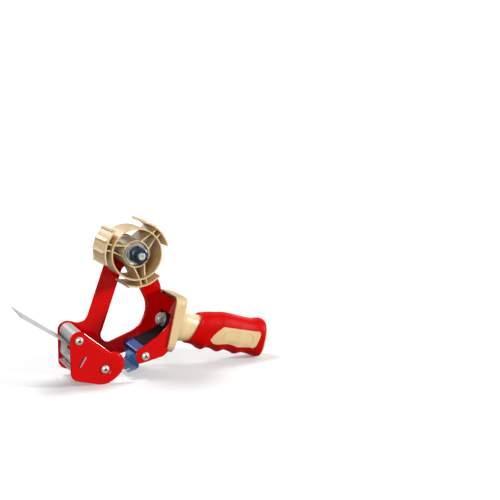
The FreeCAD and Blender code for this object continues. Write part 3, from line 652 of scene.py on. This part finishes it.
# %% bent strips
def strip(points, runs, y0, y1, sides=6):
    """A skin bent along points (x, z); each inner corner is rounded over its run, in millimetres."""
    bm = bmesh.new()
    verts = [bm.verts.new(place(x, y0, z)) for x, z in points]
    edges = [bm.edges.new(pair) for pair in zip(verts, verts[1:])]
    for vert, run in zip(verts[1:-1], runs):
        bmesh.ops.bevel(bm, geom=[vert], offset=run * MM, offset_type="OFFSET", affect="VERTICES",
                        segments=sides, profile=0.5, clamp_overlap=True, material=-1)
    made = bmesh.ops.extrude_edge_only(bm, edges=list(bm.edges))["geom"]
    moved = [g for g in made if isinstance(g, bmesh.types.BMVert)]
    bmesh.ops.translate(bm, verts=moved, vec=(0, (y1 - y0) * MM, 0))
    return bm


def trim(bm, point, normal, clear=True):
    """Cut along a plane, and unless told otherwise clear away what lies in front of it."""
    bmesh.ops.bisect_plane(bm, geom=bm.verts[:] + bm.edges[:] + bm.faces[:], plane_co=point,
                           plane_no=normal, clear_outer=clear)


def face_up(bm, way):
    """Turn the skin so that most of it faces a way."""
    bmesh.ops.recalc_face_normals(bm, faces=bm.faces)
    if sum(f.normal.dot(Vector(way)) * f.calc_area() for f in bm.faces) < 0:
        bmesh.ops.reverse_faces(bm, faces=bm.faces)
    return bm


# %% [markdown]
# The arm is a leaf of black spring steel. Its tab is clamped flat to the web under the handle's nut, and its
# front end carries the wiper. In use it springs between the frame and the wiper. The leaf is left on no body.

# %% wiper arm
def wiper_arm():
    """A tab on the web, a bend, and a leaf that narrows from full width in front to the tab behind."""
    tab = [drawn(on_grip(-1.5, u)) for u in (9.5, -9.5)]
    bm = strip([*tab, (41.6, 47.4), (10.5, 33.6)], (1.6, 4.0), -21, 21)
    across = [e for e in bm.edges if abs(e.verts[0].co.y - e.verts[1].co.y) > 30 * MM]
    bmesh.ops.subdivide_edges(bm, edges=across, cuts=1, use_grid_fill=True)
    for vert in bm.verts:
        half = 15 + 6 * (1 - between(vert.co.x, place(17, 0, 0).x, place(31, 0, 0).x))
        side = vert.co.y + MIDDLE[1] * MM
        if abs(side) > MM:
            vert.co.y = math.copysign(min(abs(side), half * MM), side) - MIDDLE[1] * MM
    return face_up(bm, (-0.5, 0, 1))


arm = piece("wiper-arm", wiper_arm(), "black_spring", None, "wiper_arm", weighted=False)
place(40.5, 0, 47.5)
place(17, 0, 36.5)
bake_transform(arm)
thicken(arm, 0.8 * MM, 0.2 * MM)
arm.modifiers["sheet"].offset = 1

# %% [markdown]
# The wiper itself folds over the arm's nose in a soft crest, drops, and curls forward into a lip with two
# notches. The crest's radius matters most: it carries the brightest highlight of the blued steel.

# %% wiper
NOTCH_MIDDLE, NOTCH_HALF, NOTCH_END = 15, 2.2, -1       # y, half width, and x where a notch ends


def wiper():
    bm = strip([(14.6, 36.6), (2.7, 31.9), (8.5, 12.4), (-6.2, 9.2)], (3.4, 6.2), -24.5, 24.5, 8)
    for side in (-NOTCH_MIDDLE, NOTCH_MIDDLE):
        for half in (-NOTCH_HALF, NOTCH_HALF):
            trim(bm, place(0, side + half, 0), (0, 1, 0), clear=False)
    trim(bm, place(NOTCH_END, 0, 0), (1, 0, 0), clear=False)

    def notched(spot):
        off = abs(abs(spot.y + MIDDLE[1] * MM) / MM - NOTCH_MIDDLE)
        return off < NOTCH_HALF and spot.x < place(NOTCH_END, 0, 0).x and spot.z < 20 * MM

    bmesh.ops.delete(bm, geom=[f for f in bm.faces if notched(f.calc_center_median())], context="FACES")
    return face_up(bm, (-1, 0, 0.4))


blade = piece("wiper-blade", wiper(), "blued_steel", "wiper", "wiper_blade", weighted=False)
thicken(blade, 0.5 * MM, 0.12 * MM)

# %% [markdown]
# The flap of film is straight by the roller, and lifts and twists a little towards its free edge, as a strip
# that has been pushed against boxes for a while does. Its root is held in a clamp. Like the arm it is left on
# no body.

# %% film flap
FILM_TOUCH, FILM_SLOPE = (-67.5, 45.7), math.radians(180 - 34.2)
FAR_END, NEAR_END = (1.0, 2.4), (-0.9, 1.2)      # how far each free corner has moved: along, up
FILM_ROOT, FILM_REACH, FILM_HALF = -17.5, 69.8, 24


def film_point(run):
    """A point on the film's middle, so far towards its free edge."""
    return (FILM_TOUCH[0] + run * math.cos(FILM_SLOPE), FILM_TOUCH[1] + run * math.sin(FILM_SLOPE))


def tape_flap():
    bm = strip([film_point(FILM_ROOT), film_point(FILM_REACH)], (), -FILM_HALF, FILM_HALF)
    bmesh.ops.subdivide_edges(bm, edges=[e for e in bm.edges if e.calc_length() > 0.06], cuts=39)
    bmesh.ops.subdivide_edges(bm, edges=[e for e in bm.edges if e.calc_length() > 0.04], cuts=7)
    along = Vector((math.cos(FILM_SLOPE), 0, math.sin(FILM_SLOPE)))
    up = Vector((math.sin(FILM_SLOPE), 0, -math.cos(FILM_SLOPE)))
    touch = place(FILM_TOUCH[0], 0, FILM_TOUCH[1])
    for vert in bm.verts:
        share = max((vert.co - touch).dot(along) / (FILM_REACH * MM), 0)
        side = (vert.co.y + MIDDLE[1] * MM) / (FILM_HALF * MM)
        slip, lift = [far * (1 + side) / 2 + near * (1 - side) / 2 for far, near in zip(FAR_END, NEAR_END)]
        vert.co += along * slip * MM * share + up * lift * MM * share ** 1.6
    return face_up(bm, (0, 0, 1))


film = piece("tape-flap", tape_flap(), "clear_film", None, "tape_flap", weighted=False)
bend = [film_point(run) for run in (-9.4, -2.0)]
place(bend[0][0], 0, bend[0][1])
place(bend[1][0], 0, bend[1][1])
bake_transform(film)
sheet = film.modifiers.new("film", "SOLIDIFY")
sheet.thickness, sheet.offset = 0.4 * MM, 0.0

# %% [markdown]
# The grip is lofted. A unit ring remembers each vertex's turn in a layer; extruding the ring copies that
# layer, so every new ring can be laid at its own station along the axis. Stations in between are worked out
# on a smooth curve through the given ones, which keeps the finger waves soft. The sleeve's stations come
# first, then those of the slimmer core that shows between it and the ferrule.

# %% loft along the grip
STATIONS = (
    (22.0, 17.6, -24.2, 18.2), (33.0, 14.4, -24.8, 16.6), (41.0, 13.6, -26.8, 16.4),
    (44.5, 13.8, -29.0, 16.5), (50.0, 15.0, -30.2, 16.8), (56.0, 16.0, -27.4, 16.4),
    (64.0, 16.8, -28.2, 16.4), (72.0, 17.8, -30.8, 16.8), (80.0, 17.8, -27.6, 16.4),
    (89.0, 17.0, -29.0, 16.4), (95.5, 16.3, -31.0, 16.8), (104.0, 15.6, -28.4, 16.4),
    (114.0, 15.2, -29.2, 16.6), (122.0, 16.8, -31.0, 17.2), (127.0, 16.6, -31.2, 17.2),
    (130.4, 13.4, -29.4, 15.8), (132.8, 7.6, -25.2, 12.6), (134.2, 1.0, -19.6, 8.0),
)
NECK = (
    (3.0, 27.0, -28.6, 26.0), (5.0, 25.0, -27.0, 24.0), (12.0, 20.0, -23.8, 20.0), (22.0, 14.6, -22.6, 16.0),
    (33.0, 11.4, -22.8, 14.4), (41.0, 10.6, -24.2, 13.8), (47.0, 11.4, -24.4, 13.8),
)
SQUARENESS = 2.6


def curve(p0, p1, p2, p3, t):
    """One value on the smooth curve from p1 to p2."""
    return 0.5 * (2 * p1 + (p2 - p0) * t + (2 * p0 - 5 * p1 + 4 * p2 - p3) * t * t
                  + (3 * p1 - p0 - 3 * p2 + p3) * t * t * t)


def finer(rows, steps):
    """The rows, with steps in each stretch between two of them."""
    padded = [rows[0], *rows, rows[-1]]
    out = []
    for four in zip(padded, padded[1:], padded[2:], padded[3:]):
        out += [tuple(curve(*column, i / steps) for column in zip(*four)) for i in range(steps)]
    return out + [rows[-1]]


def loft(rows, shrink=0.0, sides=40):
    """A closed body through rounded sections (along, top, bottom, half width)."""
    bm = bmesh.new()
    turn = bm.verts.layers.float.new("turn")
    ring = bmesh.ops.create_circle(bm, segments=sides, radius=1.0)["verts"]
    for vert in ring:
        vert[turn] = math.atan2(vert.co.y, vert.co.x)
    edges = list(bm.edges)
    bmesh.ops.contextual_create(bm, geom=edges)
    for number, (along, top, bottom, half) in enumerate(rows):
        if number:
            made = bmesh.ops.extrude_edge_only(bm, edges=edges)["geom"]
            edges = [g for g in made if isinstance(g, bmesh.types.BMEdge)]
            ring = [g for g in made if isinstance(g, bmesh.types.BMVert)]
        for vert in ring:
            c, s = math.cos(vert[turn]), math.sin(vert[turn])
            y = (half - shrink) * math.copysign(abs(c) ** (2 / SQUARENESS), c)
            tall = (top - bottom) / 2 - shrink
            u = (top + bottom) / 2 + tall * math.copysign(abs(s) ** (2 / SQUARENESS), s)
            vert.co = on_grip(along, u, y)
    bmesh.ops.contextual_create(bm, geom=edges)
    bmesh.ops.recalc_face_normals(bm, faces=bm.faces)
    return bm


# %% [markdown]
# Some openings can't be reached by cutting with planes: the bare panel's rounded window and its oval groove.
# They are carved with a boolean, whose result is read back into a bmesh.

# %% carve one closed body with another
def hidden(bm, name):
    """A bmesh as an object that is only there for the boolean."""
    mesh = bpy.data.meshes.new(name)
    bm.to_mesh(mesh)
    bm.free()
    thing = bpy.data.objects.new(name, mesh)
    bpy.context.scene.collection.objects.link(thing)
    return thing


def carved(body, cutter, operation="DIFFERENCE"):
    """What is left of one closed bmesh after another has cut it, as a new bmesh."""
    body, cutter = hidden(body, "body"), hidden(cutter, "cutter")
    cut = body.modifiers.new("cut", "BOOLEAN")
    cut.operation = operation
    cut.solver = "EXACT"
    cut.object = cutter
    view = bpy.context.evaluated_depsgraph_get()
    bm = bmesh.new()
    bm.from_mesh(body.evaluated_get(view).to_mesh())
    for thing in (body, cutter):
        bpy.data.objects.remove(thing)
    return bm


def prism(y0, y1, start, *steps):
    """A closed outline drawn out along Y, between two depths of the drawing."""
    bm = bmesh.new()
    draw(bm, y0, start, *steps)
    bmesh.ops.contextual_create(bm, geom=bm.edges[:])
    made = bmesh.ops.extrude_face_region(bm, geom=bm.faces[:])["geom"]
    bmesh.ops.translate(bm, verts=[g for g in made if isinstance(g, bmesh.types.BMVert)],
                        vec=(0, (y1 - y0) * MM, 0))
    bmesh.ops.recalc_face_normals(bm, faces=bm.faces)
    return bm


def merged(*parts):
    """Several bmeshes as one."""
    whole = bmesh.new()
    for part in parts:
        mesh = bpy.data.meshes.new("part")
        part.to_mesh(mesh)
        part.free()
        whole.from_mesh(mesh)
        bpy.data.meshes.remove(mesh)
    return whole


PANEL = ((100.3, 32.6), ((107.5, 39.6), (115.0, 44.2)), ((118.6, 46.0), (123.0, 45.2)), (162.5, 35.6),
         ((167.4, 33.4), (167.2, 29.0)), (162.4, 19.2), ((159.2, 15.6), (153.5, 16.2)), (135.5, 18.9),
         ((122.4, 24.3), (112.3, 25.0)), ((103.8, 27.6), (100.3, 32.6)))


def windows():
    """The openings over both panels, one in each flank of the grip."""
    return merged(prism(-30, -8, *PANEL), prism(8, 30, *PANEL))


# %% [markdown]
# The sleeve is soft red rubber pulled over the core. It could be a shell of even thickness, but only its
# outside shows: one closed loft is cut on a slant in front and square behind, and the windows are carved out.

# %% grip sleeve
SLEEVE_END = 128.6
SLANT_LOW, SLANT_HIGH = (27, -26), (43.6, 14)       # two points of its slanted front, along the grip and up


def grip_sleeve():
    outer = loft(finer(STATIONS, 5))
    bm = carved(outer, windows())
    slant = on_grip(*SLANT_HIGH) - on_grip(*SLANT_LOW)
    trim(bm, on_grip(*SLANT_LOW), (-slant.z, 0, slant.x))
    trim(bm, on_grip(SLEEVE_END, 0), on_grip(1, 0) - on_grip(0, 0))
    bmesh.ops.holes_fill(bm, edges=[e for e in bm.edges if e.is_boundary], sides=0)
    bmesh.ops.recalc_face_normals(bm, faces=bm.faces)
    return bm


def soft_edges(thing, width, sharp):
    """Round the edges that are sharper than an angle in degrees, and keep flat faces flat."""
    soft = thing.modifiers.new("soft edges", "BEVEL")
    soft.width, soft.segments = width, 3
    soft.limit_method, soft.angle_limit = "ANGLE", math.radians(sharp)
    thing.modifiers.new("flat faces stay flat", "WEIGHTED_NORMAL").keep_sharp = True


sleeve = piece("grip-sleeve", grip_sleeve(), "red_rubber", "frame", "grip_sleeve", weighted=False)
soft_edges(sleeve, 0.5 * MM, 50)

# %% [markdown]
# Inside the sleeve is the hard tan core. It shows at the neck, at the very end, and on each flank, where a
# bare panel with an oval groove fills the sleeve's window. Carving the panels out of the sleeve's own loft,
# made a little smaller, gives them its curve, so they sit just below the rubber all round.

# %% grip core, with its bare panels
GROOVE_HALF = (20.6, 6.9)       # half the groove's length and height
GROOVE_WIDTH, GROOVE_DEPTH, PANEL_SINK = 0.6, 0.45, 0.35


def oval(half_length, half_height):
    """A stadium about the middle of the panel, on the grip's slope, as a start and its steps."""
    middle = (137.5, 30.6)
    slope = math.radians(-13.0)

    def at(i, j):
        x = i * (half_length - half_height) + j[0] * half_height
        z = j[1] * half_height
        return (middle[0] + x * math.cos(slope) - z * math.sin(slope),
                middle[1] + x * math.sin(slope) + z * math.cos(slope))

    return (at(-1, (0, 1)), at(1, (0, 1)), (at(1, (1, 0)), at(1, (0, -1))), at(-1, (0, -1)),
            (at(-1, (-1, 0)), at(-1, (0, 1))))


def panels():
    """The two bare panels with their oval grooves, and the rounded end of the core behind the sleeve."""
    body = carved(loft(finer(STATIONS, 5), shrink=PANEL_SINK), windows(), "INTERSECT")
    inner = [half - GROOVE_WIDTH for half in GROOVE_HALF]
    ring = merged(*[carved(prism(y0, y1, *oval(*GROOVE_HALF)), prism(y0 - 1, y1 + 1, *oval(*inner)))
                    for y0, y1 in ((-30, -8), (8, 30))])
    groove = carved(ring, loft(finer(STATIONS, 5), shrink=PANEL_SINK + GROOVE_DEPTH))
    body = carved(body, groove)
    return merged(body, loft(finer(STATIONS[13:], 5), shrink=0.5))


piece("grip-core", loft(finer(NECK, 6), sides=48), "tan_plastic", "frame", "handle_core", sharp=70,
      weighted=False)
piece("grip-panels", panels(), "tan_plastic", "frame", sharp=40)

# %% [markdown]
# The ferrule is a rounded rectangle drawn out along the grip's axis, cut on a slant behind, and hollow in
# front, where it takes the frame's web between its lips.

# %% ferrule
def rounded_block(a0, a1, top, bottom, half, high, deep):
    """A rectangle across the grip's axis, its corners rounded by high and deep, drawn out from a0 to a1."""
    bm = bmesh.new()
    verts = [bm.verts.new(on_grip(a0, u, y)) for y, u in
             ((half, top), (half, bottom), (-half, bottom), (-half, top))]
    bm.faces.new(verts)
    for pair, offset in (((verts[0], verts[3]), high), ((verts[1], verts[2]), deep)):
        bmesh.ops.bevel(bm, geom=list(pair), offset=offset * MM, offset_type="OFFSET", affect="VERTICES",
                        segments=10, profile=0.5, clamp_overlap=True, material=-1)
    made = bmesh.ops.extrude_face_region(bm, geom=bm.faces[:])["geom"]
    bmesh.ops.translate(bm, verts=[g for g in made if isinstance(g, bmesh.types.BMVert)],
                        vec=on_grip(a1, 0) - on_grip(a0, 0))
    bmesh.ops.recalc_face_normals(bm, faces=bm.faces)
    return bm


def ferrule():
    bm = rounded_block(-2.6, 14, 32.4, -34.0, 31.0, 9.0, 12.0)
    slant = on_grip(11.5, 39.2) - on_grip(4.5, -42)
    trim(bm, on_grip(4.5, -42), (slant.z, 0, -slant.x))
    bmesh.ops.holes_fill(bm, edges=[e for e in bm.edges if e.is_boundary], sides=0)
    bmesh.ops.recalc_face_normals(bm, faces=bm.faces)
    bm = carved(bm, rounded_block(-4, 0.02, 31.2, -60, 28.6, 7.0, 1.0))
    return carved(bm, rounded_block(-4, 3.2, 31.2, 12.0, 28.2, 7.0, 2.0))


collar = piece("grip-ferrule", ferrule(), "tan_plastic", "frame", weighted=False)
soft_edges(collar, 0.45 * MM, 40)

# %% [markdown]
# The rest of what shows has the right shape in the CAD and only lacks broken edges: screws, nuts, washers,
# the roller, the guard, the blade with its bracket, and the hub. One table gives each its body, its finish
# and how far its edges are broken. Turned and moulded parts have rounder edges than a cutting blade.

# %% soften the parts whose shape is right
SOFT = {
    "near_screws": ("frame", "nickel", 0.00018),
    "far_screws": ("frame", "nickel", 0.00018),
    "front_roller": ("roller", "roller_grey", 0.0004),
    "blade_guard": ("guard", "guard_grey", 0.0003),
    "blade_bracket": ("frame", "zinc_steel", 0.0003),
    "cutting_blade": ("frame", "blade_steel", 0.0001),
    "flap_clamp": ("frame", "zinc_steel", 0.0003),
    "handle_nut": ("frame", "zinc_steel", 0.0003),
    "handle_washer": ("frame", "zinc_steel", 0.0003),
    "hub": ("tape_hub", "tan_plastic", 0.00035),
    "hub_bolt": ("frame", "zinc_steel", 0.0003),
    "hub_lock_nut": ("frame", "zinc_steel", 0.0003),
    "brake_washer": ("frame", "white_washer", 0.0003),
    "pressure_washer": ("pressure_washer", "zinc_steel", 0.0003),
    "brake_nut": ("brake_nut", "blue_black_nut", 0.0004),
}
# The screws' copies carry the recess value that paints shade into their crosses.
for node, (body, slot, width) in SOFT.items():
    bm = softened(node, width)
    piece(node.replace("_", "-"), shaded_recess(bm) if "screws" in node else bm, slot, body, node)

# %% [markdown]
# The brake's coil spring shortens as the nut is turned. Its copy of the CAD mesh rides on the frame and gets
# a mesh of its own.

# %% brake spring
bm = bmesh.new()
bm.from_mesh(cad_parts["brake_spring"].data)
coil = piece("brake-spring", bm, "spring_steel", "frame", "brake_spring", weighted=False)
place(HUB[0], 0, 0).x
place(0, 0, HUB[1]).z
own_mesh(coil)

# %% [markdown]
# The few nodes left are hidden inside or are wires: they keep their CAD mesh and get their slot's finish.

# %% finish the CAD nodes that stay
STAYS = {
    "roller_axle": "zinc_steel", "lower_tie_bar": "zinc_steel", "rear_tie_bar": "zinc_steel",
    "guard_spring": "spring_steel", "blade_rivets": "zinc_steel",
    "flap_rivets": "zinc_steel", "handle_stud": "zinc_steel", "hub_spacer": "zinc_steel",
}
for name, slot in STAYS.items():
    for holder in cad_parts[name].material_slots:
        holder.material = FINISHES[slot].material
showing = [name for name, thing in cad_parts.items() if not thing.hide_render]
print("CAD nodes that stay:", ", ".join(sorted(showing)), "unset:", sorted(set(showing) - set(STAYS)))

# %% [markdown]
# A flat white table. It glows faintly, and more so farther away, so that it runs into the white behind it
# without a horizon. A backdrop curved up behind is the usual way, but the light falls off along its curve.

# %% floor
bm = bmesh.new()
bmesh.ops.create_grid(bm, x_segments=1, y_segments=1, size=4.0)
floor_mesh = bpy.data.meshes.new("floor")
bm.to_mesh(floor_mesh)
bm.free()
floor = bpy.data.objects.new("floor", floor_mesh)
bpy.context.scene.collection.objects.link(floor)
paper = Finish("white paper", roughness=0.7, specular_ior_level=0.1, emission_strength=1.0)
away = paper.node("ShaderNodeVectorMath", {"operation": "LENGTH"}, {0: paper.where}, "Value")
paper.set(emission_color=paper.blend(paper.clamp(away, 0.4, 2.5), (0.16, 0.16, 0.16), (1.0, 1.0, 1.0)))
paper.set(base_color=paper.blend(paper.noise(0.3), (0.60, 0.60, 0.60), (0.63, 0.63, 0.63)))
floor_mesh.materials.append(paper.material)
floor.visible_glossy = False      # the enamel would otherwise mirror the white table and look pink
floor.visible_diffuse = False     # and its undersides would be as bright as its top

# %% [markdown]
# Five round area lights. The key is small and stands low on the right in front, so the rolled edges catch a
# narrow streak. A wider fill stands on the left in front, a weak rim and a back light pick out the far edges,
# and one from above lights the table. The world is white for the camera and dimmer for every other ray, or
# its own light would wash the reds out.

# %% lights and world
def soft_light(name, spot, aim, size, power):
    """A round area light at a spot, aimed at a point, in metres and watts."""
    lamp = bpy.data.lights.new(name, "AREA")
    lamp.shape = "DISK"
    lamp.size = size
    lamp.energy = power
    thing = bpy.data.objects.new(name, lamp)
    thing.location = spot
    thing.rotation_euler = (Vector(aim) - Vector(spot)).to_track_quat("-Z", "Y").to_euler()
    bpy.context.scene.collection.objects.link(thing)


soft_light("key", (1.28, -0.88, 0.52), (0, 0, 0.07), 0.3, 25)
soft_light("fill", (-0.85, -1.6, 0.6), (0, 0, 0.07), 0.8, 15)
soft_light("rim", (1.25, 0.93, 0.42), (0, 0, 0.07), 0.7, 5)
soft_light("back", (-0.26, 1.42, 0.69), (0, 0, 0.05), 0.5, 2.2)
soft_light("top", (-0.45, 0.45, 1.4), (0, 0, 0.0), 0.7, 15)
world = bpy.data.worlds.new("studio")
world.use_nodes = True
sky = world.node_tree
path = sky.nodes.new("ShaderNodeLightPath")
seen = sky.nodes["Background"]
seen.inputs["Color"].default_value = (0.26, 0.26, 0.27, 1)
for ray, grey in (("Is Glossy Ray", 0.42), ("Is Camera Ray", 1.0)):
    other = sky.nodes.new("ShaderNodeBackground")
    other.inputs["Color"].default_value = (grey, grey, grey, 1)
    either = sky.nodes.new("ShaderNodeMixShader")
    sky.links.new(path.outputs[ray], either.inputs[0])
    sky.links.new(seen.outputs[0], either.inputs[1])
    sky.links.new(other.outputs[0], either.inputs[2])
    seen = either
sky.links.new(seen.outputs[0], sky.nodes["World Output"].inputs["Surface"])
bpy.context.scene.world = world
bpy.context.scene.view_settings.view_transform = "Standard"
bpy.context.scene.view_settings.look = "Medium High Contrast"

# %% [markdown]
# The camera stands a metre off on the open side of the hub, a little to the front and above, and looks down
# by about nine degrees, so that both plates, the roller and the grip's flank show at once.

# %% camera
lens = bpy.data.cameras.new("camera")
lens.lens = 63.912
lens.sensor_width = 36.0
camera = bpy.data.objects.new("camera", lens)
camera.location = (-0.33229, -0.96330, 0.31329)
camera.rotation_euler = (math.radians(90 - 9.449), 0, math.radians(-25.729))
bpy.context.scene.collection.objects.link(camera)
bpy.context.scene.camera = camera
print("camera at", [round(c, 3) for c in camera.location])
